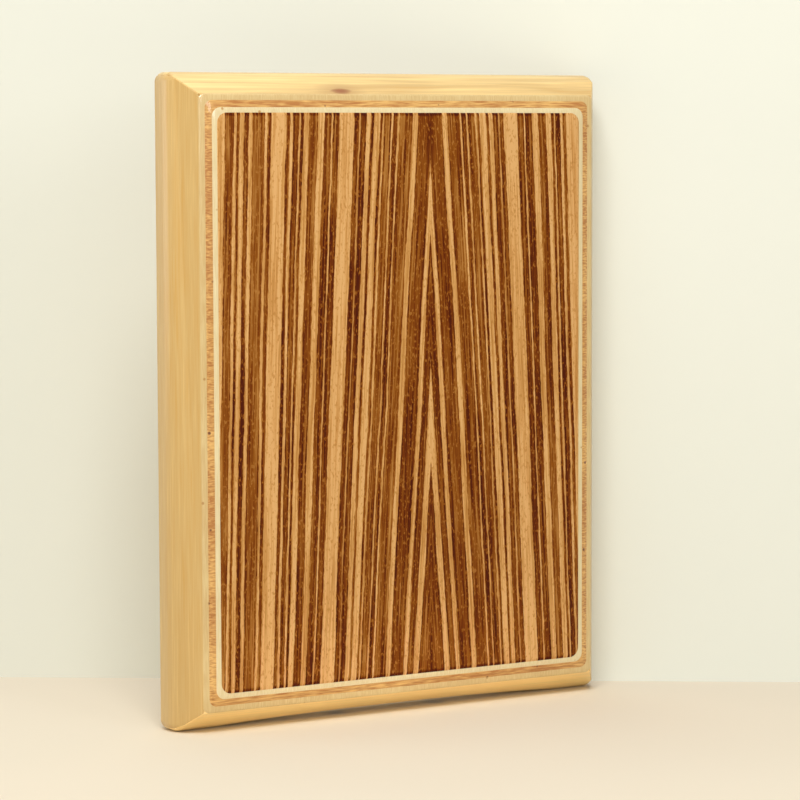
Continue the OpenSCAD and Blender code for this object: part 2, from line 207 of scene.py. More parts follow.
def turned(profile, steps=48, tube=False):
    """A shape turned on a lathe: (radius, height) points spun about Z."""
    shape = bmesh.new()
    points = [shape.verts.new((radius, 0, height)) for radius, height in profile]
    ends = points[1:] + points[:1] if tube else points[1:]
    lines = [shape.edges.new(pair) for pair in zip(points, ends)]
    bmesh.ops.spin(
        shape, geom=points + lines, cent=(0, 0, 0), axis=(0, 0, 1), dvec=(0, 0, 0),
        angle=2 * math.pi, steps=steps, use_merge=True, use_duplicate=False,
    )
    bmesh.ops.remove_doubles(shape, verts=shape.verts, dist=1e-4)
    bmesh.ops.recalc_face_normals(shape, faces=shape.faces)
    return shape


def moved(shape, x=0.0, y=0.0, z=0.0, turn=None):
    """Turns a shape about the origin, then moves it."""
    if turn:
        bmesh.ops.rotate(
            shape, cent=(0, 0, 0), verts=shape.verts,
            matrix=Matrix.Rotation(math.radians(turn[0]), 3, turn[1]),
        )
    bmesh.ops.translate(shape, verts=shape.verts, vec=(x, y, z))
    return shape


def set_in(name, shape, finishes, nodes, body="drum", soft=35.0):
    """Makes a shape in millimetres a piece that rides on a body and stands for its solids."""
    bmesh.ops.remove_doubles(shape, verts=shape.verts, dist=1e-4)
    bmesh.ops.recalc_face_normals(shape, faces=shape.faces)
    bmesh.ops.scale(shape, vec=(MM, MM, MM), verts=shape.verts)
    mesh = meshed(name, shape)
    for finish in finishes:
        mesh.materials.append(finish)
    mesh.shade_smooth()
    mesh.set_sharp_from_angle(angle=math.radians(soft))
    piece = placed(name, mesh)
    if body:
        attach(piece, body)
    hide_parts(*nodes)
    return piece


def hue(written):
    """A colour written as sRGB hex, as linear RGBA."""
    parts = [int(written[i:i + 2], 16) / 255 for i in (1, 3, 5)]
    return [c / 12.92 if c <= 0.04045 else ((c + 0.055) / 1.055) ** 2.4 for c in parts] + [1.0]


def per(size):
    """Repeats in a metre of a feature so many millimetres long."""
    return 1000.0 / size


def feed(tree, node, feeds):
    """Gives a node's inputs their links or their values."""
    for key, value in feeds.items():
        if isinstance(value, bpy.types.NodeSocket):
            tree.links.new(value, node.inputs[key])
        else:
            node.inputs[key].default_value = value


def add(tree, kind, feeds=None, stops=None, out=0, **settings):
    """Adds a shader node and gives the output that is wanted. Settings are its properties, feeds
    its inputs' links or values, and stops a colour ramp's places, each with a hex colour or a level."""
    node = tree.nodes.new("ShaderNode" + kind)
    for key, value in settings.items():
        setattr(node, key, value)
    feed(tree, node, feeds or {})
    if stops:
        band = node.color_ramp.elements
        while len(band) < len(stops):
            band.new(1.0)
        for element, (place, tone) in zip(band, stops):
            element.position = place
            element.color = hue(tone) if isinstance(tone, str) else (tone, tone, tone, 1.0)
    return node.outputs[out]


def new_finish(name, roughness, **sockets):
    """A material with its Principled shader's constant sockets set, and the place in the frame that
    its pattern is drawn by."""
    finish = bpy.data.materials.new(name)
    finish.use_nodes = True
    tree = finish.node_tree
    shader = tree.nodes["Principled BSDF"]
    feed(tree, shader, {key.replace("_", " "): value for key, value in sockets.items()})
    feed(tree, shader, {"Roughness": roughness})
    place = add(tree, "TexCoord", out="Object")
    return finish, tree, shader, place


RING_BEND, FIBRE_PULL, KNOT_HALO = 3.4, 0.48, 4.0


def lacquered_pine(name, upright, shift, ring_gap, ground_and_painted_light, figure, streak, knot=None):
    """Pale pine under satin lacquer. Growth rings run the batten's length as honey streaks, with
    finer streaks and fibres between them, and the lacquer gives a quiet sheen on the ridges. Its
    ground tone is partly the batten's own and partly painted light and shade, set batten by batten."""
    finish, tree, shader, place = new_finish(name, 0.42, Coat_Weight=0.3, Coat_Roughness=0.22)
    turn = (0, math.pi / 2, 0) if upright else (0, 0, 0)
    laid = add(tree, "Mapping", {"Vector": place, "Rotation": turn, "Location": shift})
    axes = add(tree, "SeparateXYZ", {"Vector": laid}).node
    cross = add(tree, "CombineXYZ", {"Y": axes.outputs["Y"], "Z": axes.outputs["Z"]})
    radius = add(tree, "VectorMath", {0: cross}, operation="LENGTH", out="Value")
    rings = add(tree, "Math", {0: radius, 1: per(ring_gap)}, operation="MULTIPLY")
    layers = []
    for length, width in ((150, 16), (80, 1.9), (26, 0.7)):
        drawn = add(tree, "Mapping", {"Vector": laid, "Scale": (per(length), per(width), per(width))})
        layers.append(add(tree, "TexNoise", {"Vector": drawn, "Scale": 1.0, "Detail": 3.0}))
    drift, streaks, fibres = layers
    # A slow drift bends the rings, and then streaks and fibres tint the wood
    rings = add(tree, "Math", {0: drift, 1: RING_BEND, 2: rings}, operation="MULTIPLY_ADD")
    rings = add(tree, "Math", {0: rings, 1: 1.0}, operation="PINGPONG")
    rings = add(tree, "Math", {0: rings, 1: 2.0}, operation="POWER")
    # The ground tone sets how dark the wood is overall, partly its own tone and partly painted light and
    # shade
    tone = add(tree, "Math", {0: rings, 1: figure, 2: ground_and_painted_light}, operation="MULTIPLY_ADD")
    for layer, pull in ((streaks, streak), (fibres, FIBRE_PULL)):
        grain = add(tree, "Math", {0: layer, 1: 0.5}, operation="SUBTRACT")
        tone = add(tree, "Math", {0: grain, 1: pull, 2: tone}, operation="MULTIPLY_ADD")
    colour = add(
        tree, "ValToRGB", {"Fac": tone},
        [
            (0.0, "#FFD98E"), (0.2, "#F0D28C"), (0.44, "#E6C27C"), (0.68, "#D1AD6C"),
            (0.88, "#CEA054"), (1.0, "#C48A3E"),
        ],
    )
    if knot:
        centre, reach = knot
        near = add(tree, "VectorMath", {0: place, 1: centre}, operation="SUBTRACT")
        near = add(tree, "VectorMath", {0: near, 1: [per(r) for r in reach]}, operation="MULTIPLY")
        away = add(tree, "VectorMath", {0: near}, operation="LENGTH", out="Value")
        away = add(tree, "Math", {0: grain, 1: 2.0, 2: away}, operation="MULTIPLY_ADD")
        away = add(tree, "Math", {0: away, 1: KNOT_HALO}, operation="DIVIDE")
        heart = add(tree, "ValToRGB", {"Fac": away}, [(0.08, 1.0), (0.25, 0.75), (0.36, 0.3), (1.0, 0.0)])
        dark = {0: heart, 6: colour, 7: hue("#8E4E10")}
        colour = add(tree, "Mix", dark, data_type="RGBA", out=2)
    relief = add(tree, "Bump", {"Height": grain, "Strength": 0.12, "Distance": 0.05 * MM})
    feed(tree, shader, {"Base Color": colour, "Normal": relief})
    return finish


# The bottom batten is planed to a shallow hollow, so that it stands on its two ends
HOLLOW_SPAN, HOLLOW_H = 196.0, 2.4
HOLLOW_R = (HOLLOW_SPAN ** 2 / 4 + HOLLOW_H ** 2) / (2 * HOLLOW_H)
HOLLOW_FADE = 4.0


def foot_hollow(x, inset):
    """How far a point of the bottom batten is planed up, fading out above its edge."""
    if abs(x) >= HOLLOW_SPAN / 2 or inset >= HOLLOW_FADE:
        return 0.0
    rise = math.sqrt(HOLLOW_R ** 2 - x ** 2) - (HOLLOW_R - HOLLOW_H)
    return rise * (1 - inset / HOLLOW_FADE)


SCREW_X, SCREW_DEPTH = 28.0, 19.7
BUSH_BORE_R, SHANK_BORE_R, BUSH_STEP = 4.34, 3.2, 8.2
# How far a drill runs on past the wood
PAST = 4.0
# Each batten's ground tone is partly painted light: the left one is painted darker as shade, and the bottom
# one much lighter as painted bounce light from the table
left_pine = lacquered_pine("lacquered pine, left", True, (0.3, 0.012, 0.09), 7.0, 0.69, 0.06, 0.28)
right_pine = lacquered_pine("lacquered pine, right", True, (0.9, 0.02, -0.13), 6.0, 0.52, 0.16, 0.64)
top_pine = lacquered_pine(
    "lacquered pine, top", False, (0.4, 0.022, -0.33), 3.4, 0.41, 0.34, 0.96,
    knot=((-0.0328, -0.0106, 0.3012), (3.8, 2.2, 1.5)),
)
bottom_pine = lacquered_pine("lacquered pine, bottom", False, (1.7, 0.03, 0.05), 5.0, 0.02, 0.13, 0.56)

for name, half_length, half_across, turn, pine in (
    ("left_stile", BODY_H / 2, BODY_W / 2, 90, left_pine),
    ("right_stile", BODY_H / 2, BODY_W / 2, -90, right_pine),
    ("top_rail", BODY_W / 2, BODY_H / 2, 180, top_pine),
):
    wood = moved(batten(half_length, half_across), z=MID_Z, turn=(turn, "Y"))
    set_in(f"{name}_batten", wood, [pine], [name])
bottom = moved(batten(BODY_W / 2, BODY_H / 2, foot_hollow), z=MID_Z)
for side in (-1, 1):
    bore = turned([
        (0, -PAST), (BUSH_BORE_R, -PAST), (BUSH_BORE_R, BUSH_STEP), (SHANK_BORE_R, BUSH_STEP),
        (SHANK_BORE_R, BATTEN_W + PAST), (0, BATTEN_W + PAST),
    ])
    bottom = carve(bottom, moved(bore, x=side * SCREW_X, y=y_at(SCREW_DEPTH)))
set_in("bottom_rail_batten", bottom, [bottom_pine], ["bottom_rail"])

# The corner blocks: three-sided offcuts of pine, sawn and left bare, glued into the inner corners
# to keep the mitres square.
INNER_X, INNER_LOW, INNER_HIGH = 100.0, 20.0, 290.0
BLOCK_LEG, BLOCK_D, BLOCK_EASE = 20.0, 15.0, 0.35


def bare_wood(name, light, dark, along, fibre_w, fibre_l, roughness=0.6):
    """Sawn or planed wood without a finish: fibres drawn out along the grain in two close tones,
    a faint figure over them, and almost no gloss."""
    finish, tree, shader, place = new_finish(name, roughness)
    scale = [per(fibre_l if axis == along else fibre_w) for axis in "XYZ"]
    fine = add(tree, "Mapping", {"Vector": place, "Scale": scale})
    fibre = add(tree, "TexNoise", {"Vector": fine, "Scale": 1.0, "Detail": 4.0})
    broad = add(tree, "Mapping", {"Vector": place, "Scale": [s / 9 for s in scale]})
    figure = add(tree, "TexNoise", {"Vector": broad, "Scale": 1.0, "Detail": 2.0})
    tone = add(tree, "Math", {0: fibre, 1: 0.6, 2: -0.3}, operation="MULTIPLY_ADD")
    tone = add(tree, "Math", {0: tone, 1: figure}, operation="ADD")
    colour = add(tree, "ValToRGB", {"Fac": tone}, [(0.25, light), (0.75, dark)])
    relief = add(tree, "Bump", {"Height": fibre, "Strength": 0.25, "Distance": 0.06 * MM})
    feed(tree, shader, {"Base Color": colour, "Normal": relief})
    return finish


sawn_pine = bare_wood("sawn pine", "#E2C690", "#CFA66A", "Z", 0.9, 22)
for x_side, x_name in ((-1, "left"), (1, "right")):
    for z_side, z_name in ((-1, "bottom"), (1, "top")):
        x, z = x_side * INNER_X, INNER_HIGH if z_side > 0 else INNER_LOW
        corners = [(x, z), (x - x_side * BLOCK_LEG, z), (x, z - z_side * BLOCK_LEG)]
        front = y_at(PANEL_DEPTH - BLOCK_D)
        block = bar_of([(a, front, b) for a, b in corners], (0, BLOCK_D, 0))
        ease(block, block.edges[:], BLOCK_EASE, 2)
        set_in(
            f"corner_block_wood_{z_name}_{x_name}", block, [sawn_pine],
            [f"corner_block_{z_name}_{x_name}"],
        )

# The anchor bar: a beech bar screwed up under the top batten. Each string hangs by its ball in a
# pocket bored from above and leaves through a fine hole.
ANCHOR_X, ANCHOR_LOW, ANCHOR_FRONT, ANCHOR_BACK = 52.0, 278.0, 4.1, 19.1
STRING_X = (23.0, 33.0)
END_DEPTH, RUN_DEPTH = 7.3, 2.85
BALL_LOW = 284.0
ANCHOR_SCREW_X, ANCHOR_SCREW_DEPTH = 44.0, 15.1
STRING_HOLE_R, POCKET_R = 0.6, 2.2
SINK_R, SINK_BORE_R, ANCHOR_SINK_H = 2.9, 1.55, 1.35
BAR_EASE = 0.4
planed_beech = bare_wood("planed beech", "#D6AE7A", "#BE8E58", "X", 0.5, 9, 0.5)


def eased_bar(low, high, soft, steps=2):
    """A planed bar between two corners, its edges eased."""
    bar = bmesh.new()
    bmesh.ops.create_cube(bar, size=1.0)
    size = [b - a for a, b in zip(low, high)]
    bmesh.ops.scale(bar, vec=size, verts=bar.verts)
    bmesh.ops.translate(bar, vec=[(a + b) / 2 for a, b in zip(low, high)], verts=bar.verts)
    ease(bar, bar.edges[:], soft, steps)
    return bar


def countersink(height, length):
    """The tool for a screw hole, its mouth at the origin and its bore along +Z."""
    return turned([
        (0, -PAST), (SINK_R, -PAST), (SINK_R, 0), (SINK_BORE_R, height), (SINK_BORE_R, length), (0, length),
    ], 32)


anchor = eased_bar(
    (-ANCHOR_X, y_at(ANCHOR_FRONT), ANCHOR_LOW), (ANCHOR_X, y_at(ANCHOR_BACK), INNER_HIGH), BAR_EASE
)
for side in (-1, 1):
    for x in STRING_X:
        bore = turned([
            (0, ANCHOR_LOW - PAST), (STRING_HOLE_R, ANCHOR_LOW - PAST), (STRING_HOLE_R, BALL_LOW),
            (POCKET_R, BALL_LOW), (POCKET_R, INNER_HIGH + PAST), (0, INNER_HIGH + PAST),
        ], 24)
        anchor = carve(anchor, moved(bore, x=side * x, y=y_at(END_DEPTH)))
    sink = countersink(ANCHOR_SINK_H, INNER_HIGH - ANCHOR_LOW + PAST)
    anchor = carve(anchor, moved(sink, x=side * ANCHOR_SCREW_X, y=y_at(ANCHOR_SCREW_DEPTH), z=ANCHOR_LOW))
set_in("anchor_bar_beech", anchor, [planed_beech], ["string_anchor_bar"])

# The wood screws: zinc-plated steel with countersunk heads and cross recesses. The thread starts
# below a plain neck and runs to the point. Two hold the anchor bar.
SCREW_R, SCREW_ROOT_R, SCREW_HEAD_R = 1.5, 1.12, 2.8
SCREW_PITCH, SCREW_HEAD_H, SCREW_NECK, SCREW_POINT = 1.35, 1.4, 4.0, 3.0
SCREW_EASE, NECK_STEP, LEAD_IN = 0.12, 0.5, 0.4
RECESS_L, RECESS_W, RECESS_TAPER, RECESS_H, RECESS_AT = 2.45, 0.5, 0.45, 2.6, 0.2
# A thread's half width, as a share of its pitch, and how deep it is rooted in the core
FLANK, ROOTED = 0.42, 0.08
ANCHOR_SCREW_L = 22.0


def gather(shape, part):
    """Adds one shape's mesh to another's and frees it."""
    held = meshed("held", part)
    shape.from_mesh(held)
    bpy.data.meshes.remove(held)
    return shape


def thread(root_r, crest_r, pitch, low, high, steps=16):
    """A ridge that winds up a screw between two heights."""
    turns = int((high - low) / pitch)
    ridge = bmesh.new()
    half = FLANK * pitch
    points = [
        ridge.verts.new((radius, 0, low + half + rise))
        for radius, rise in ((root_r - ROOTED, -half), (crest_r, 0.0), (root_r - ROOTED, half))
    ]
    lines = [ridge.edges.new((points[i], points[i - 1])) for i in range(3)]
    rise = (turns * pitch - 2 * half) / (turns * steps)
    bmesh.ops.spin(
        ridge, geom=points + lines, cent=(0, 0, 0), axis=(0, 0, 1), dvec=(0, 0, rise),
        angle=2 * math.pi * turns, steps=turns * steps, use_merge=False, use_duplicate=False,
    )
    close_up(ridge)
    bmesh.ops.recalc_face_normals(ridge, faces=ridge.faces)
    return ridge


def wood_screw(length):
    """A countersunk screw, its head flush at the origin and its point along +Z."""
    screw = turned([
        (0, 0), (SCREW_HEAD_R - SCREW_EASE, 0), (SCREW_HEAD_R, SCREW_EASE), (SCREW_R, SCREW_HEAD_H),
        (SCREW_R, SCREW_NECK), (SCREW_ROOT_R, SCREW_NECK + NECK_STEP),
        (SCREW_ROOT_R, length - SCREW_POINT), (0.0, length),
    ], 32)
    for turn in (0, 90):
        recess = bmesh.new()
        bmesh.ops.create_cone(
            recess, cap_ends=True, segments=4, radius1=1.0, radius2=RECESS_TAPER, depth=RECESS_H
        )
        moved(recess, turn=(45, "Z"))
        bmesh.ops.scale(recess, vec=(RECESS_L, RECESS_W, 1.0), verts=recess.verts)
        screw = carve(screw, moved(recess, z=RECESS_AT, turn=(turn, "Z")))
    low, high = SCREW_NECK + LEAD_IN, length - SCREW_POINT + LEAD_IN
    return gather(screw, thread(SCREW_ROOT_R, SCREW_R, SCREW_PITCH, low, high))


def plated(name, light, dark, roughness, grit, wear):
    """Bare or plated metal: a nearly even tone with faint blotches from handling, and a fine
    tooling grit that breaks up the highlights."""
    finish, tree, shader, place = new_finish(name, roughness, Metallic=1.0)
    blotch = add(tree, "TexNoise", {"Vector": place, "Scale": per(wear), "Detail": 3.0})
    colour = add(tree, "ValToRGB", {"Fac": blotch}, [(0.35, dark), (0.65, light)])
    fine = add(tree, "TexNoise", {"Vector": place, "Scale": per(grit), "Detail": 2.0})
    rough = add(tree, "MapRange", {"Value": fine, "To Min": roughness - 0.08, "To Max": roughness + 0.1})
    relief = add(tree, "Bump", {"Height": fine, "Strength": 0.15, "Distance": 0.02 * MM})
    feed(tree, shader, {"Base Color": colour, "Roughness": rough, "Normal": relief})
    return finish


zinc_steel = plated("zinc-plated steel", "#CDCFD2", "#AEB1B6", 0.3, 0.25, 3.0)
anchor_screws = bmesh.new()
for side in (-1, 1):
    gather(anchor_screws, moved(
        wood_screw(ANCHOR_SCREW_L), x=side * ANCHOR_SCREW_X, y=y_at(ANCHOR_SCREW_DEPTH), z=ANCHOR_LOW
    ))
set_in("anchor_screws_steel", anchor_screws, [zinc_steel], ["anchor_bar_screws"])

# The bridge bars: two beech bars glued between the side battens behind the strings.
# Each has a strip of wool felt glued along its front, which rests on the strings and damps them.
BRIDGE_H, BRIDGE_FRONT, BRIDGE_BACK = 8.0, 4.65, 16.65
FELT_FRONT = 3.15
FELT_X = 99.5
FELT_SOFT, FELT_CUTS = 0.55, 120
# The strings press dents into the front of the felt, which is a little wavy besides
FELT_FACE, DENT, DENT_W, FELT_WAVE, RIPPLE, SWELL = 0.7, 0.16, 1.4, 0.05, 0.9, 0.23
BRIDGES = (("upper", 252.0), ("lower", 66.0))


def wool_felt(name):
    """Pressed wool felt: grey-brown, quite matt, with a tangle of short fibres that shows as a
    fine mottle and a soft pale bloom at its edges."""
    finish, tree, shader, place = new_finish(name, 0.95, Sheen_Weight=0.5, Sheen_Roughness=0.6)
    tangle = add(tree, "TexNoise", {"Vector": place, "Scale": per(0.8), "Detail": 5.0, "Distortion": 1.5})
    mottle = add(tree, "TexNoise", {"Vector": place, "Scale": per(6), "Detail": 2.0})
    tone = add(tree, "Math", {0: tangle, 1: mottle}, operation="ADD")
    tone = add(tree, "Math", {0: tone, 1: 0.5}, operation="MULTIPLY")
    colour = add(
        tree, "ValToRGB", {"Fac": tone}, [(0.3, "#575047"), (0.55, "#6B6258"), (0.75, "#857B6E")]
    )
    relief = add(tree, "Bump", {"Height": tangle, "Strength": 0.7, "Distance": 0.15 * MM})
    feed(tree, shader, {"Base Color": colour, "Normal": relief})
    return finish


felt_finish = wool_felt("wool felt")
for bar_name, low in BRIDGES:
    bar = eased_bar(
        (-INNER_X, y_at(BRIDGE_FRONT), low), (INNER_X, y_at(BRIDGE_BACK), low + BRIDGE_H), BAR_EASE
    )
    set_in(f"{bar_name}_bridge_beech", bar, [planed_beech], [f"{bar_name}_bridge_bar"])
    felt = eased_bar(
        (-FELT_X, y_at(FELT_FRONT), low), (FELT_X, y_at(BRIDGE_FRONT), low + BRIDGE_H), FELT_SOFT, 3
    )
    lengthways = [e for e in felt.edges if abs(e.verts[0].co.x - e.verts[1].co.x) > FELT_X]
    bmesh.ops.subdivide_edges(felt, edges=lengthways, cuts=FELT_CUTS, use_grid_fill=True)
    for vert in felt.verts:
        if vert.co.y < y_at(BRIDGE_FRONT) - FELT_FACE:
            near = min(abs(abs(vert.co.x) - x) for x in STRING_X)
            wave = 1 + math.sin(vert.co.x * RIPPLE) * math.sin(vert.co.x * SWELL + low)
            vert.co.y += DENT * math.exp(-((near / DENT_W) ** 2)) + FELT_WAVE * wave
    pad = set_in(
        f"{bar_name}_bridge_felt_strip", felt, [felt_finish], [f"{bar_name}_bridge_felt"],
        soft=60,
    )

# The screw bushes: stepped steel bushes pushed up into the bottom batten. The cup hides the
# tension screw's head, and the step above it bears on the wood.
BUSH_MOUTH, BUSH_SEAT = 3.0, 7.0
CUP_R, BUSH_R, SHANK_R, BUSH_HOLE_R = 3.65, 4.3, 3.16, 2.06
CUP_EASE, RIM_EASE, STEP_EASE, TOP_EASE = 0.25, 0.15, 0.2, 0.3
SIDES = ((-1, "left"), (1, "right"))
for side, name in SIDES:
    bush = turned([
        (CUP_R, BUSH_SEAT), (CUP_R, BUSH_MOUTH + CUP_EASE), (CUP_R + CUP_EASE, BUSH_MOUTH),
        (BUSH_R - RIM_EASE, BUSH_MOUTH), (BUSH_R, BUSH_MOUTH + RIM_EASE), (BUSH_R, BUSH_STEP - STEP_EASE),
        (BUSH_R - STEP_EASE, BUSH_STEP), (SHANK_R, BUSH_STEP), (SHANK_R, BATTEN_W - TOP_EASE),
        (SHANK_R - TOP_EASE, BATTEN_W), (BUSH_HOLE_R + STEP_EASE, BATTEN_W),
        (BUSH_HOLE_R, BATTEN_W - STEP_EASE), (BUSH_HOLE_R, BUSH_SEAT),
    ], 64, tube=True)
    set_in(
        f"{name}_bush_steel", moved(bush, x=side * SCREW_X, y=y_at(SCREW_DEPTH)),
        [zinc_steel], [f"screw_bush_{name}"],
    )

# The tension screws: M4 socket screws of blackened steel, head down in the bush. A hexagon key
# from below turns one, and its thread draws the string carriage up or down.
HEAD_LOW, HEAD_TOP, THREAD_TOP = 3.75, 6.95, 56.0
HEAD_R, THREAD_ROOT_R, THREAD_R, THREAD_PITCH = 3.5, 1.62, 2.0, 0.7
HEAD_EASE, TIP_H, TIP_IN, RUN_IN, RUN_OUT = 0.35, 0.6, 0.42, 0.1, 0.3
KEY_R, KEY_H = 3.0 / math.sqrt(3), 4.0
black_steel = plated("blackened steel", "#3A3A3C", "#252527", 0.42, 0.3, 2.0)
for side, name in SIDES:
    screw = turned([
        (0, HEAD_LOW), (HEAD_R - HEAD_EASE, HEAD_LOW), (HEAD_R, HEAD_LOW + HEAD_EASE), (HEAD_R, HEAD_TOP),
        (THREAD_ROOT_R, HEAD_TOP), (THREAD_ROOT_R, THREAD_TOP - TIP_H),
        (THREAD_ROOT_R - TIP_IN, THREAD_TOP), (0, THREAD_TOP),
    ], 64)
    key = bmesh.new()
    bmesh.ops.create_cone(key, cap_ends=True, segments=6, radius1=KEY_R, radius2=KEY_R, depth=KEY_H)
    screw = carve(screw, moved(key, z=HEAD_LOW))
    low, high = HEAD_TOP + RUN_IN, THREAD_TOP - RUN_OUT
    gather(screw, thread(THREAD_ROOT_R, THREAD_R, THREAD_PITCH, low, high, 20))
    set_in(
        f"{name}_tension_screw_steel", moved(screw, x=side * SCREW_X, y=y_at(SCREW_DEPTH)),
        [black_steel], [f"tension_screw_{name}"], f"{name}_tension_screw",
    )

# The string carriages: sawn alloy blocks, tapped for the screw and drilled for two strings.
# They ride up and down the screw, kept from turning by the back panel behind them.
CARRIAGE_LOW, CARRIAGE_HIGH = 37.0, 47.0
CARRIAGE_X, CARRIAGE_FRONT, CARRIAGE_BACK = 9.0, 4.8, 23.2
CARRIAGE_EASE = 0.5
TAP_R, TAP_MOUTH_R = 2.06, 2.6
# The crimps: low end, radius, radius of the waist, its heights up the crimp, and the eased edges
CRIMP_LOW, CRIMP_R, CRIMP_WAIST_R = 32.0, 1.5, 1.36
CRIMP_WAIST, CRIMP_EASE = (1.4, 1.9, 3.1, 3.6), 0.15
STRING_BORE_R = 0.3
alloy = plated("machined alloy", "#CFD1D3", "#B8BBBE", 0.34, 0.35, 5.0)
brass = plated("turned brass", "#D2AE58", "#B78E3C", 0.3, 0.3, 2.0)


def spool(low, high, full_r, waist_r, waist, soft):
    """A turned spool with a string's bore, its waist sunk and raised again between four heights."""
    sink, bottom, rise, top = (low + height for height in waist)
    return turned([
        (STRING_BORE_R, low), (full_r - soft, low), (full_r, low + soft), (full_r, sink),
        (waist_r, bottom), (waist_r, rise), (full_r, top), (full_r, high - soft),
        (full_r - soft, high), (STRING_BORE_R, high),
    ], 32, tube=True)


for side, name in SIDES:
    carriage = eased_bar(
        (side * SCREW_X - CARRIAGE_X, y_at(CARRIAGE_FRONT), CARRIAGE_LOW),
        (side * SCREW_X + CARRIAGE_X, y_at(CARRIAGE_BACK), CARRIAGE_HIGH), CARRIAGE_EASE,
    )
    below, above = CARRIAGE_LOW - PAST, CARRIAGE_HIGH + PAST
    sunk = TAP_MOUTH_R - TAP_R
    bore = turned([
        (0, below), (TAP_MOUTH_R, below), (TAP_MOUTH_R, CARRIAGE_LOW), (TAP_R, CARRIAGE_LOW + sunk),
        (TAP_R, CARRIAGE_HIGH - sunk), (TAP_MOUTH_R, CARRIAGE_HIGH), (TAP_MOUTH_R, above), (0, above),
    ])
    carriage = carve(carriage, moved(bore, x=side * SCREW_X, y=y_at(SCREW_DEPTH)))
    crimps = bmesh.new()
    for x in STRING_X:
        hole = turned([(0, below), (STRING_HOLE_R, below), (STRING_HOLE_R, above), (0, above)], 24)
        carriage = carve(carriage, moved(hole, x=side * x, y=y_at(END_DEPTH)))
        crimp = spool(CRIMP_LOW, CARRIAGE_LOW, CRIMP_R, CRIMP_WAIST_R, CRIMP_WAIST, CRIMP_EASE)
        gather(crimps, moved(crimp, x=side * x, y=y_at(END_DEPTH)))
    body = f"{name}_string_carriage"
    set_in(f"{name}_carriage_alloy", carriage, [alloy], [f"string_carriage_{name}"], body)
    set_in(f"{name}_crimps_brass", crimps, [brass], [f"string_crimps_{name}"], body)

# The ball ends: small brass spools turned with a waist, one on the top end of each string. The
# string's pull holds them down in their pockets in the anchor bar.
BALL_R, BALL_WAIST_R, BALL_H = 2.0, 1.55, 3.5
BALL_WAIST, BALL_EASE = (0.9, 1.3, 2.2, 2.6), 0.2
balls = bmesh.new()
for side in (-1, 1):
    for x in STRING_X:
        ball = spool(BALL_LOW, BALL_LOW + BALL_H, BALL_R, BALL_WAIST_R, BALL_WAIST, BALL_EASE)
        gather(balls, moved(ball, x=side * x, y=y_at(END_DEPTH)))
set_in("ball_ends_brass", balls, [brass], ["string_ball_ends"])

# The snare strings: two plain steel wires a side, hung from their balls, led over both bridges
# close behind the playing plate, and down through the carriage to their crimps.
STRING_R = 0.25
STRING_TOP, ANCHOR_BEND, UPPER_BEND = 287.5, 277.5, 260.5
LOWER_BEND, CARRIAGE_BEND = 65.5, 47.5
BEND_EASE, BEND_STEPS = 1.2, 4
STRING_STEP = 4.0
string_route = [
    (END_DEPTH, STRING_TOP), (END_DEPTH, ANCHOR_BEND), (RUN_DEPTH, UPPER_BEND),
    (RUN_DEPTH, LOWER_BEND), (END_DEPTH, CARRIAGE_BEND), (END_DEPTH, CRIMP_LOW),
]
drawn_wire = plated("drawn steel wire", "#C9CBCE", "#A9ADB2", 0.26, 0.2, 4.0)
for side, name in SIDES:
    strings = bmesh.new()
    for x in STRING_X:
        points = [Vector((side * x, y_at(depth), z)) for depth, z in string_route]
        eased = [points[0]]
        for before, bend, after in zip(points, points[1:], points[2:]):
            start = bend + BEND_EASE * (before - bend).normalized()
            end = bend + BEND_EASE * (after - bend).normalized()
            for step in range(BEND_STEPS + 1):
                t = step / BEND_STEPS
                eased.append((1 - t) ** 2 * start + 2 * t * (1 - t) * bend + t ** 2 * end)
        eased.append(points[-1])
        close = [eased[0]]
        for a, b in zip(eased, eased[1:]):
            parts = max(1, int((b - a).length / STRING_STEP))
            close += [a.lerp(b, (i + 1) / parts) for i in range(parts)]
        path = bpy.data.curves.new("string path", "CURVE")
        path.dimensions = "3D"
        path.bevel_depth, path.bevel_resolution, path.use_fill_caps = STRING_R, 2, True
        spline = path.splines.new("POLY")
        spline.points.add(len(close) - 1)
        for point, place in zip(spline.points, close):
            point.co = (*place, 1.0)
        guide = bpy.data.objects.new("string path", path)
        wire = bpy.data.meshes.new_from_object(guide)
        strings.from_mesh(wire)
        bpy.data.objects.remove(guide)
        bpy.data.curves.remove(path)
        bpy.data.meshes.remove(wire)
    piece = set_in(
        f"{name}_strings_wire", strings, [drawn_wire], [f"snare_strings_{name}"], None, 60
    )
    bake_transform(piece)

# The playing plate: thin plywood glued over the front of the frame. Its edge is routed to a long
# flat moulding, which lays bare a pale ply, the brown core and another pale ply as bands.
CREASE_IN, CORE_IN, FACE_IN, VENEER_IN = 10.5, 13.2, 16.5, 19.0
CREASE_DEPTH, CORE_DEPTH, FACE_DEPTH, VENEER_DEPTH = 1.9, 1.6, 0.8, 0.4
PLATE_R, VENEER_R, CORNER_STEPS = 3.2, 5.0, 10
# Each ply's moulded edge, as points (in from the frame's outer face, back from the playing face)
BACK_PLY_EDGE = [
    (LAND_IN, LAND_DEPTH), (CREASE_IN, CREASE_DEPTH), (CREASE_IN + 0.5, CREASE_DEPTH - 0.16),
    (CORE_IN, CORE_DEPTH),
]
CORE_PLY_EDGE = [(CORE_IN, CORE_DEPTH), (14.3, 1.22), (15.4, 0.97), (FACE_IN, FACE_DEPTH)]
FACE_PLY_EDGE = [(FACE_IN, FACE_DEPTH), (17.3, 0.6), (18.2, 0.47), (VENEER_IN, VENEER_DEPTH)]


def rim_r(inset):
    """The plate's corner radius, growing from its outer edge to the veneer."""
    share = (inset - CREASE_IN) / (VENEER_IN - CREASE_IN)
    return PLATE_R + (VENEER_R - PLATE_R) * min(max(share, 0.0), 1.0)


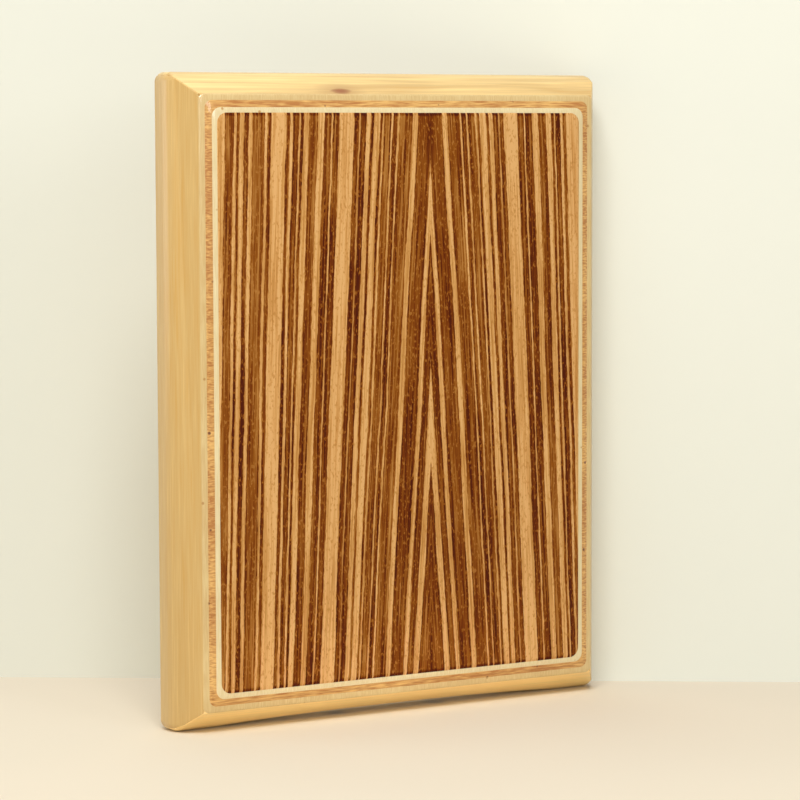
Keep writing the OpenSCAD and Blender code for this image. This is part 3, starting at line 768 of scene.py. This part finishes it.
def rounded_loop(shape, inset, depth):
    """The edges of a round-cornered rectangle, so far in from the frame's outer face."""
    half_w, half_h = BODY_W / 2 - inset, BODY_H / 2 - inset
    corners = [(-half_w, -half_h), (half_w, -half_h), (half_w, half_h), (-half_w, half_h)]
    verts = [shape.verts.new((x, y_at(depth), MID_Z + z)) for x, z in corners]
    shape.faces.new(verts)
    bmesh.ops.bevel(
        shape, geom=verts, offset=rim_r(inset), offset_type="OFFSET", segments=CORNER_STEPS,
        profile=0.5, affect="VERTICES", material=-1,
    )
    rounded = next(f for f in shape.faces if abs(f.calc_center_median().y - y_at(depth)) < 1e-4)
    edges = rounded.edges[:]
    bmesh.ops.delete(shape, geom=[rounded], context="FACES_ONLY")
    return edges


def moulded_ply(edge):
    """A ply whose edge is moulded through points from its back to its front."""
    shape = bmesh.new()
    rings = [rounded_loop(shape, inset, depth) for inset, depth in edge]
    for a, b in zip(rings, rings[1:]):
        bmesh.ops.bridge_loops(shape, edges=a + b)
    close_up(shape)
    return shape


def routed_ply(name, light, dark, fleck, along, fibre_w):
    """A thin ply cut across by the router and lacquered: close fibres that read as fine lines
    along the band where it runs with the grain and as specks where it is cut on end."""
    finish, tree, shader, place = new_finish(name, 0.4, Coat_Weight=0.7, Coat_Roughness=0.1)
    scale = [per(8.0 if axis == along else fibre_w) for axis in "XYZ"]
    fine = add(tree, "Mapping", {"Vector": place, "Scale": scale})
    fibre = add(tree, "TexNoise", {"Vector": fine, "Scale": 1.0, "Detail": 3.0})
    broad = add(tree, "TexNoise", {"Vector": place, "Scale": per(26), "Detail": 2.0})
    tone = add(tree, "Math", {0: broad, 1: 0.5, 2: fibre}, operation="MULTIPLY_ADD")
    colour = add(tree, "ValToRGB", {"Fac": tone}, [(0.55, light), (0.9, dark)])
    speck_place = add(tree, "Mapping", {"Vector": place, "Scale": [per(9.0)] * 3})
    speck = add(tree, "TexVoronoi", {"Vector": speck_place, "Scale": 1.0})
    speck = add(tree, "ValToRGB", {"Fac": speck}, [(0.055, 1.0), (0.1, 0.0)])
    colour = add(tree, "Mix", {0: speck, 6: colour, 7: hue(fleck)}, data_type="RGBA", out=2)
    relief = add(tree, "Bump", {"Height": fibre, "Strength": 0.15, "Distance": 0.05 * MM})
    feed(tree, shader, {"Base Color": colour, "Normal": relief})
    return finish


pale_ply = routed_ply("lacquered birch ply", "#E8D8AA", "#DCC796", "#BF9254", "Z", 0.4)
outer_ply = routed_ply("lacquered birch ply, outer", "#DCC288", "#CFAE72", "#B68848", "Z", 0.4)
core_ply = routed_ply("lacquered brown core ply", "#E4B466", "#AF6F29", "#6E3A12", "X", 0.7)
for name, edge, finish, node, slot in (
    ("plate_back_ply_birch", BACK_PLY_EDGE, outer_ply, "plate_back_ply", "pale_ply"),
    ("plate_core_ply_brown", CORE_PLY_EDGE, core_ply, "plate_core_ply", "core_ply"),
    ("plate_face_ply_birch", FACE_PLY_EDGE, pale_ply, "plate_face_ply", "pale_ply"),
):
    set_in(name, moulded_ply(edge), [finish], [node])

# The face veneer: two leaves of zebrano from one log, opened like a book so that their stripes
# mirror about a seam right of the middle, pressed onto the ply and lacquered.
VENEER_EDGE = [
    (VENEER_IN, VENEER_DEPTH), (VENEER_IN + 0.35, 0.22), (VENEER_IN + 0.9, 0.07), (VENEER_IN + 1.5, 0.0),
]
SEAM_X = 14.3
STRIPES_FROM = -19.0
# How dark the kinds of stripe are, and the stripes themselves, as widths at the top edge laid
# from the seam outwards
PALE, STRAW, TAN, BROWN, DARK = 0.08, 0.14, 0.34, 0.68, 0.8
STRIPES = [
    (8.5, DARK), (3.5, STRAW), (4.0, DARK), (2.5, STRAW), (8.0, DARK), (3.0, STRAW),
    (7.0, BROWN), (1.0, STRAW), (2.5, DARK), (1.0, STRAW), (4.0, BROWN), (1.0, STRAW),
    (1.5, DARK), (3.5, PALE), (1.5, DARK), (2.5, STRAW), (3.0, DARK), (1.0, TAN),
    (2.5, DARK), (8.0, PALE), (3.5, DARK), (1.0, STRAW), (4.0, DARK), (3.5, STRAW),
    (2.5, BROWN), (2.0, DARK), (3.0, PALE), (1.5, DARK), (1.0, STRAW), (3.0, DARK),
    (1.5, PALE), (2.0, DARK), (8.0, PALE), (2.0, DARK), (1.5, STRAW), (6.5, BROWN),
    (2.0, STRAW), (2.5, DARK), (2.5, STRAW), (1.5, DARK), (1.5, STRAW), (4.5, BROWN),
    (6.5, STRAW),
]
WIDE_STRIPE, DARK_STRIPE = 2.4, 0.5
SOFT_EDGE, RIM_W, RIM_DARKER = 0.25, 0.5, 0.16
STOPS_IN_RAMP = 27
LEAN_LOW, LEAN_HIGH, LEAN, LEAN_CLOSER = 20.0, 278.0, 16.8, 0.0058
EDGE_DARK_FROM, EDGE_DARK_TO, EDGE_DARKER = 134.2, 135.2, 0.4


def stripe_level(tree, stripe):
    """How dark the veneer is at a distance from its seam, through ramps laid end to end."""
    stops, at = [], STRIPES_FROM
    for width, level in STRIPES:
        low, high = at + SOFT_EDGE, at + width - SOFT_EDGE
        if width > WIDE_STRIPE and level > DARK_STRIPE:
            rim = level + RIM_DARKER
            stops += [(low, rim), (low + RIM_W, level), (high - RIM_W, level), (high, rim)]
        else:
            stops += [(low, level), (high, level)]
        at += width
    found = None
    for i in range(0, len(stops) - 1, STOPS_IN_RAMP):
        part = stops[i:i + STOPS_IN_RAMP + 1]
        low, high = part[0][0], part[-1][0]
        along = add(tree, "MapRange", {"Value": stripe, "From Min": low, "From Max": high})
        scaled = [((place - low) / (high - low), level) for place, level in part]
        level = add(tree, "ValToRGB", {"Fac": along}, scaled)
        if found:
            past = add(tree, "Math", {0: stripe, 1: low}, operation="GREATER_THAN")
            level = add(tree, "Mix", {0: past, 2: found, 3: level})
        found = level
    return found


def lacquered_zebrano(name):
    """Zebrano veneer under satin lacquer: straw and dark brown stripes of uneven width, darkest
    along their edges, with a slight sway, fine lines and pores inside them and a soft even sheen."""
    finish, tree, shader, place = new_finish(name, 0.42, Specular_IOR_Level=0.1)
    axes = add(tree, "SeparateXYZ", {"Vector": place}).node
    height = axes.outputs["Z"]
    side = add(tree, "Math", {0: axes.outputs["X"], 1: SEAM_X * MM}, operation="SUBTRACT")
    out = add(tree, "Math", {0: side}, operation="ABSOLUTE")
    out = add(tree, "Math", {0: out, 1: 1 / MM}, operation="MULTIPLY")
    lean = {"From Min": LEAN_LOW * MM, "From Max": LEAN_HIGH * MM, "To Min": LEAN, "To Max": 0.0}
    drop = add(tree, "MapRange", {"Value": height, **lean}, clamp=False)
    spread = add(tree, "Math", {0: drop, 1: -LEAN_CLOSER, 2: 1.0}, operation="MULTIPLY_ADD")
    stripe = add(tree, "Math", {0: out, 1: drop}, operation="SUBTRACT")
    stripe = add(tree, "Math", {0: stripe, 1: spread}, operation="DIVIDE")
    # The side gives the two leaves, cut one below the other, slightly different grain
    leaf = add(tree, "Math", {0: side, 1: per(50)}, operation="MULTIPLY")
    opened = add(tree, "CombineXYZ", {"X": stripe, "Y": leaf, "Z": height})
    # (width, length, push): a slow sway, a waver and ragged fibres shift the stripes, in mm, and
    # then broad clouds, lines and hair lines make them darker or lighter
    layers = []
    for width, length, push in (
        (22, 85, 2.2), (4, 24, 0.7), (0.8, 4, 1.1), (9, 70, 0.55), (1.3, 60, 1.0), (0.55, 22, 0.9),
    ):
        drawn = add(
            tree, "Mapping",
            {"Vector": opened, "Scale": (1 / width, 1.0, per(length)), "Location": (width, push, length)},
        )
        grain = add(tree, "TexNoise", {"Vector": drawn, "Scale": 1.0, "Detail": 2.0})
        grain = add(tree, "Math", {0: grain, 1: 0.5}, operation="SUBTRACT")
        layers.append({0: grain, 1: push})
    for layer in layers[:3]:
        stripe = add(tree, "Math", {**layer, 2: stripe}, operation="MULTIPLY_ADD")
    level = stripe_level(tree, stripe)
    for layer in layers[3:]:
        level = add(tree, "Math", {**layer, 2: level}, operation="MULTIPLY_ADD")
    # Pores read dark on the straw stripes and pale on the brown ones
    pores = add(tree, "Mapping", {"Vector": place, "Scale": (per(0.85), per(0.85), per(2.0))})
    pores = add(tree, "TexNoise", {"Vector": pores, "Scale": 1.0, "Detail": 2.0})
    flecks = add(tree, "ValToRGB", {"Fac": pores}, [(0.55, 0.0), (0.68, 0.7)])
    level = add(tree, "Mix", {0: flecks, 2: level, 3: 0.42})
    # The veneer is darker along its top and bottom edges
    reach = add(tree, "Math", {0: height, 1: MID_Z * MM}, operation="SUBTRACT")
    reach = add(tree, "Math", {0: reach}, operation="ABSOLUTE")
    edge_span = {"From Min": EDGE_DARK_FROM * MM, "From Max": EDGE_DARK_TO * MM, "To Max": EDGE_DARKER}
    ends = add(tree, "MapRange", {"Value": reach, **edge_span})
    level = add(tree, "Math", {0: level, 1: ends, 2: level}, operation="MULTIPLY_ADD")
    colour = add(
        tree, "ValToRGB", {"Fac": level},
        [
            (0.0, "#DDAC6F"), (0.12, "#D29D5D"), (0.3, "#C18A49"), (0.46, "#AC7434"),
            (0.64, "#8C4F0F"), (0.82, "#703100"), (1.0, "#4A1400"),
        ],
    )
    relief = add(tree, "Bump", {"Height": pores, "Strength": 0.2, "Distance": 0.04 * MM}, invert=True)
    feed(tree, shader, {"Base Color": colour, "Normal": relief})
    return finish


zebrano = lacquered_zebrano("lacquered zebrano")
set_in(
    "face_veneer_zebrano", moulded_ply(VENEER_EDGE), [zebrano], ["striped_veneer"],
    soft=50,
)

# The back panel: birch plywood screwed into the frame's rebate, with a round sound hole whose cut
# wall shows the plies.
PANEL_IN, PANEL_T = 11.7, 6.0
HOLE_R, HOLE_Z = 30.0, 165.0
HOLE_EASE, HOLE_ROUND = 0.7, 0.2
SIDE_SCREW_X, SIDE_SCREW_Z = 104.25, (-110.0, 0.0, 110.0)
END_SCREW_X, END_SCREW_Z = 65.0, (-139.25, 139.25)
BACK_SCREWS = [(side * SIDE_SCREW_X, MID_Z + z) for side in (-1, 1) for z in SIDE_SCREW_Z]
BACK_SCREWS += [(side * END_SCREW_X, MID_Z + z) for side in (-1, 1) for z in END_SCREW_Z]
panel = eased_bar(
    (PANEL_IN - BODY_W / 2, y_at(PANEL_DEPTH), PANEL_IN),
    (BODY_W / 2 - PANEL_IN, y_at(BODY_D), BODY_H - PANEL_IN), BAR_EASE,
)
wide, eased = HOLE_R + HOLE_EASE, HOLE_R + HOLE_ROUND
hole = turned([
    (0, -PAST), (wide, -PAST), (wide, 0), (eased, HOLE_ROUND), (HOLE_R, HOLE_EASE),
    (HOLE_R, PANEL_T - HOLE_EASE), (eased, PANEL_T - HOLE_ROUND), (wide, PANEL_T),
    (wide, PANEL_T + PAST), (0, PANEL_T + PAST),
], 128)
panel = carve(panel, moved(hole, y=y_at(BODY_D), z=HOLE_Z, turn=(90, "X")))
for x, z in BACK_SCREWS:
    sink = countersink(SCREW_HEAD_H, PANEL_T + PAST)
    panel = carve(panel, moved(sink, x=x, y=y_at(BODY_D), z=z, turn=(90, "X")))
for face in panel.faces:
    middle = face.calc_center_median()
    in_hole = math.hypot(middle.x, middle.z - HOLE_Z) < wide + 0.1 and abs(face.normal.y) < 0.9
    face.material_index = 1 if in_hole else 0


def birch_panel(name):
    """Rotary-cut birch: a pale even ground with slow wavy figure up the panel, fine short flecks
    and a thin satin lacquer."""
    finish, tree, shader, place = new_finish(name, 0.48, Coat_Weight=0.2, Coat_Roughness=0.3)
    broad = add(tree, "Mapping", {"Vector": place, "Scale": (per(18), per(60), per(120))})
    figure = add(tree, "TexNoise", {"Vector": broad, "Scale": 1.0, "Detail": 3.0, "Distortion": 0.6})
    waves = add(tree, "Math", {0: figure, 1: 7.0}, operation="MULTIPLY")
    waves = add(tree, "Math", {0: waves, 1: 1.0}, operation="PINGPONG")
    fine = add(tree, "Mapping", {"Vector": place, "Scale": (per(0.6), per(0.6), per(16))})
    fibre = add(tree, "TexNoise", {"Vector": fine, "Scale": 1.0, "Detail": 3.0})
    tone = add(tree, "Math", {0: waves, 1: 0.35, 2: fibre}, operation="MULTIPLY_ADD")
    colour = add(
        tree, "ValToRGB", {"Fac": tone}, [(0.35, "#EAD2A2"), (0.65, "#E2C48E"), (0.95, "#D2AC70")]
    )
    relief = add(tree, "Bump", {"Height": fibre, "Strength": 0.15, "Distance": 0.05 * MM})
    feed(tree, shader, {"Base Color": colour, "Normal": relief})
    return finish


def ply_edge(name):
    """The cut edge of the panel: five plies, long grain and end grain in turn, as pale and brown
    bands through its thickness."""
    finish, tree, shader, place = new_finish(name, 0.55)
    axes = add(tree, "SeparateXYZ", {"Vector": place}).node
    depth = add(
        tree, "MapRange",
        {"Value": axes.outputs["Y"], "From Min": y_at(PANEL_DEPTH) * MM, "From Max": y_at(BODY_D) * MM},
    )
    grain = add(tree, "TexNoise", {"Vector": place, "Scale": per(0.8), "Detail": 3.0})
    depth = add(tree, "Math", {0: grain, 1: 0.04, 2: depth}, operation="MULTIPLY_ADD")
    bands = []
    for i, tone in enumerate(("#E4C896", "#B98C56", "#E1C38E", "#B98C56", "#E4C896")):
        bands += [(0.2 * i + 0.01, tone), (0.2 * i + 0.19, tone)]
    colour = add(tree, "ValToRGB", {"Fac": depth}, bands)
    spots = add(tree, "ValToRGB", {"Fac": grain}, [(0.35, "#D8CFC2"), (0.6, "#FFFFFF")])
    spotted = {0: 0.8, 6: colour, 7: spots}
    colour = add(tree, "Mix", spotted, data_type="RGBA", blend_type="MULTIPLY", out=2)
    feed(tree, shader, {"Base Color": colour})
    return finish


set_in(
    "back_panel_birch", panel, [birch_panel("lacquered birch"), ply_edge("birch ply edge")],
    ["back_panel"],
)

# The back screws: ten of the same wood screws, driven through the back panel into the frame. Their
# heads sit flush with it, and each stopped at another turn.
BACK_SCREW_L, NEXT_TURN = 14.0, 37.0
back_screws = bmesh.new()
for i, (x, z) in enumerate(BACK_SCREWS):
    screw = moved(wood_screw(BACK_SCREW_L), turn=(NEXT_TURN * i, "Z"))
    gather(back_screws, moved(screw, x=x, y=y_at(BODY_D), z=z, turn=(90, "X")))
set_in("back_screws_steel", back_screws, [zinc_steel], ["back_panel_screws"])

# The studio: a plain pale table top and a plain warm white wall close behind the drum.
# The wall is clear from behind, so that it never stands between the drum and another viewpoint.
WALL_POINT = Vector((140.0, 4.6)) * MM
WALL_ALONG = Vector((0.827, -0.561))
STAGE_HALF = 4.0


def stage_sheet(name, corners, colour, one_sided):
    """A flat stage piece: an even matt colour with the faintest mottle."""
    finish, tree, shader, place = new_finish(name, 0.9, Specular_IOR_Level=0.1)
    mottle = add(tree, "TexNoise", {"Vector": place, "Scale": per(400), "Detail": 2.0})
    tint = add(tree, "ValToRGB", {"Fac": mottle}, [(0.3, colour[0]), (0.7, colour[1])])
    feed(tree, shader, {"Base Color": tint})
    if one_sided:
        behind = add(tree, "NewGeometry", out="Backfacing")
        clear = add(tree, "BsdfTransparent")
        seen = add(tree, "MixShader", {0: behind, 1: shader.outputs[0], 2: clear})
        feed(tree, tree.nodes["Material Output"], {"Surface": seen})
    sheet = bmesh.new()
    sheet.faces.new([sheet.verts.new(corner) for corner in corners])
    mesh = meshed(name, sheet)
    mesh.materials.append(finish)
    piece = placed(name, mesh)
    piece.visible_shadow = piece.visible_diffuse = not one_sided


table = [(x * STAGE_HALF, y * STAGE_HALF, 0) for x, y in ((-1, -1), (1, -1), (1, 1), (-1, 1))]
stage_sheet("table_top", table, ("#E7DBC3", "#E9DEC7"), False)
left, right = (WALL_POINT + side * STAGE_HALF * WALL_ALONG for side in (-1, 1))
wall = [(*left, 0), (*right, 0), (*right, STAGE_HALF), (*left, STAGE_HALF)]
stage_sheet("wall", wall, ("#E7E9DD", "#EAECE1"), True)

# The light: the room's own soft white, which shows as a pale backdrop, and seven softboxes. Three
# hang high, three stand a little above the drum's top, and a narrow strip lights the bottom slope.
ROOM_LIGHT = 0.22
world = bpy.data.worlds.new("studio")
bpy.context.scene.world = world
world.use_nodes = True
tree = world.node_tree
tree.nodes.clear()
ray = add(tree, "LightPath").node
seen = ray.outputs["Is Camera Ray"]
for kind in ("Is Glossy Ray", "Is Transmission Ray"):
    seen = add(tree, "Math", {0: seen, 1: ray.outputs[kind]}, operation="MAXIMUM")
room = add(tree, "Background", {"Color": hue("#FFFFFF"), "Strength": ROOM_LIGHT})
backdrop = add(tree, "Background", {"Color": hue("#F4F1E1"), "Strength": 1.0})
sky = add(tree, "MixShader", {0: seen, 1: room, 2: backdrop})
feed(tree, tree.nodes.new("ShaderNodeOutputWorld"), {"Surface": sky})


def softbox(name, place, target, size, watts, beam=180.0):
    """A studio light, so wide and so tall, aimed at a point, with a grid that narrows its beam."""
    lamp_data = bpy.data.lights.new(name, "AREA")
    lamp_data.shape = "RECTANGLE"
    lamp_data.size, lamp_data.size_y = size
    lamp_data.energy = watts
    lamp_data.spread = math.radians(beam)
    lamp = placed(name, lamp_data)
    lamp.matrix_world = Matrix.Translation(place) @ (
        (Vector(target) - Vector(place)).to_track_quat("-Z", "Y").to_matrix().to_4x4()
    )


softbox("overhead_light", (-0.05, -0.1, 1.9), (0, 0, 0.15), (1.2, 1.2), 7.6)
softbox("front_light", (-0.7, -1.0, 1.7), (0, 0, 0.15), (0.9, 0.7), 27.5)
softbox("fill_light", (-1.0, -1.8, 0.46), (0, 0, 0.14), (1.4, 0.3), 3.6)
softbox("window_light", (0.28, -1.98, 0.76), (-0.1, 0, 0.29), (0.32, 0.66), 4.0)
softbox("left_light", (-1.5, 1.2, 0.5), (0, 0, 0.15), (1.0, 0.8), 7.0)
softbox("low_strip_light", (-0.3, -0.62, 0.05), (0, 0, 0.006), (0.16, 0.05), 0.008, beam=9.0)
softbox("back_light", (0.4, 1.3, 1.7), (0, 0, 0.15), (1.2, 1.2), 6.0)

bpy.context.scene.view_settings.view_transform = "Standard"
